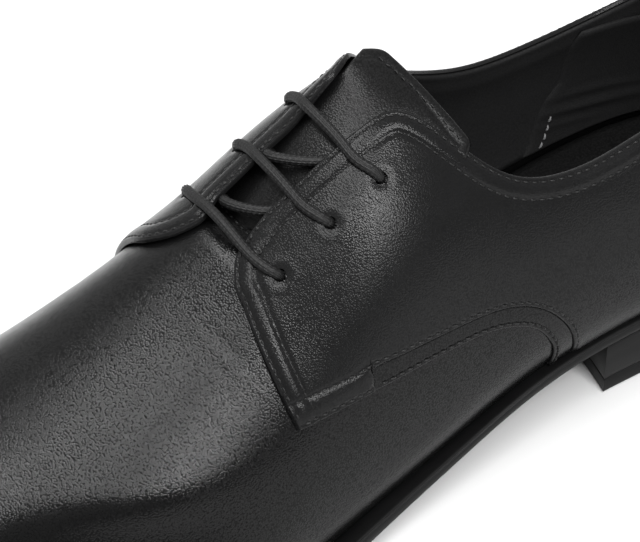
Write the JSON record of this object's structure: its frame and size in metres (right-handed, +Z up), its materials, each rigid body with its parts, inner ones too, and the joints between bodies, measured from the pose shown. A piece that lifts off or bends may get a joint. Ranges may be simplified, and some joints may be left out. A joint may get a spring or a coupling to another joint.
{
  "type": "lace-up shoe",
  "caption": "Plain derby shoe for the left foot with open lacing, lapped quarters, a slim sole and a low stacked heel, empty and standing on its sole",
  "frame": {"origin": "on the floor under the middle of the box around the shoe", "axes": "the toe points along -X and the heel along +X, the outer side of the foot along -Y, up is +Z"},
  "size_m": [0.3, 0.1031, 0.1016],
  "materials": {
    "sole": "blackened sole edge, half matt",
    "heel": "black, half matt",
    "upper": "black fine-grained calf, soft sheen",
    "lining": "black, matt",
    "lace": "black waxed round braid"
  },
  "bodies": {
    "root": {"outsole": "sole", "heel_stack": "heel", "heel_lift": "heel", "upper": "upper", "quarter_lateral": "upper", "quarter_medial": "upper", "strip_lateral": "upper", "strip_medial": "upper", "tongue": "upper", "insole": "lining", "lace_bar_front": "lace", "lace_bar_middle": "lace", "lace_bar_back": "lace", "lace_cross_front": "lace", "lace_cross_back": "lace"}
  },
  "joints": []
}
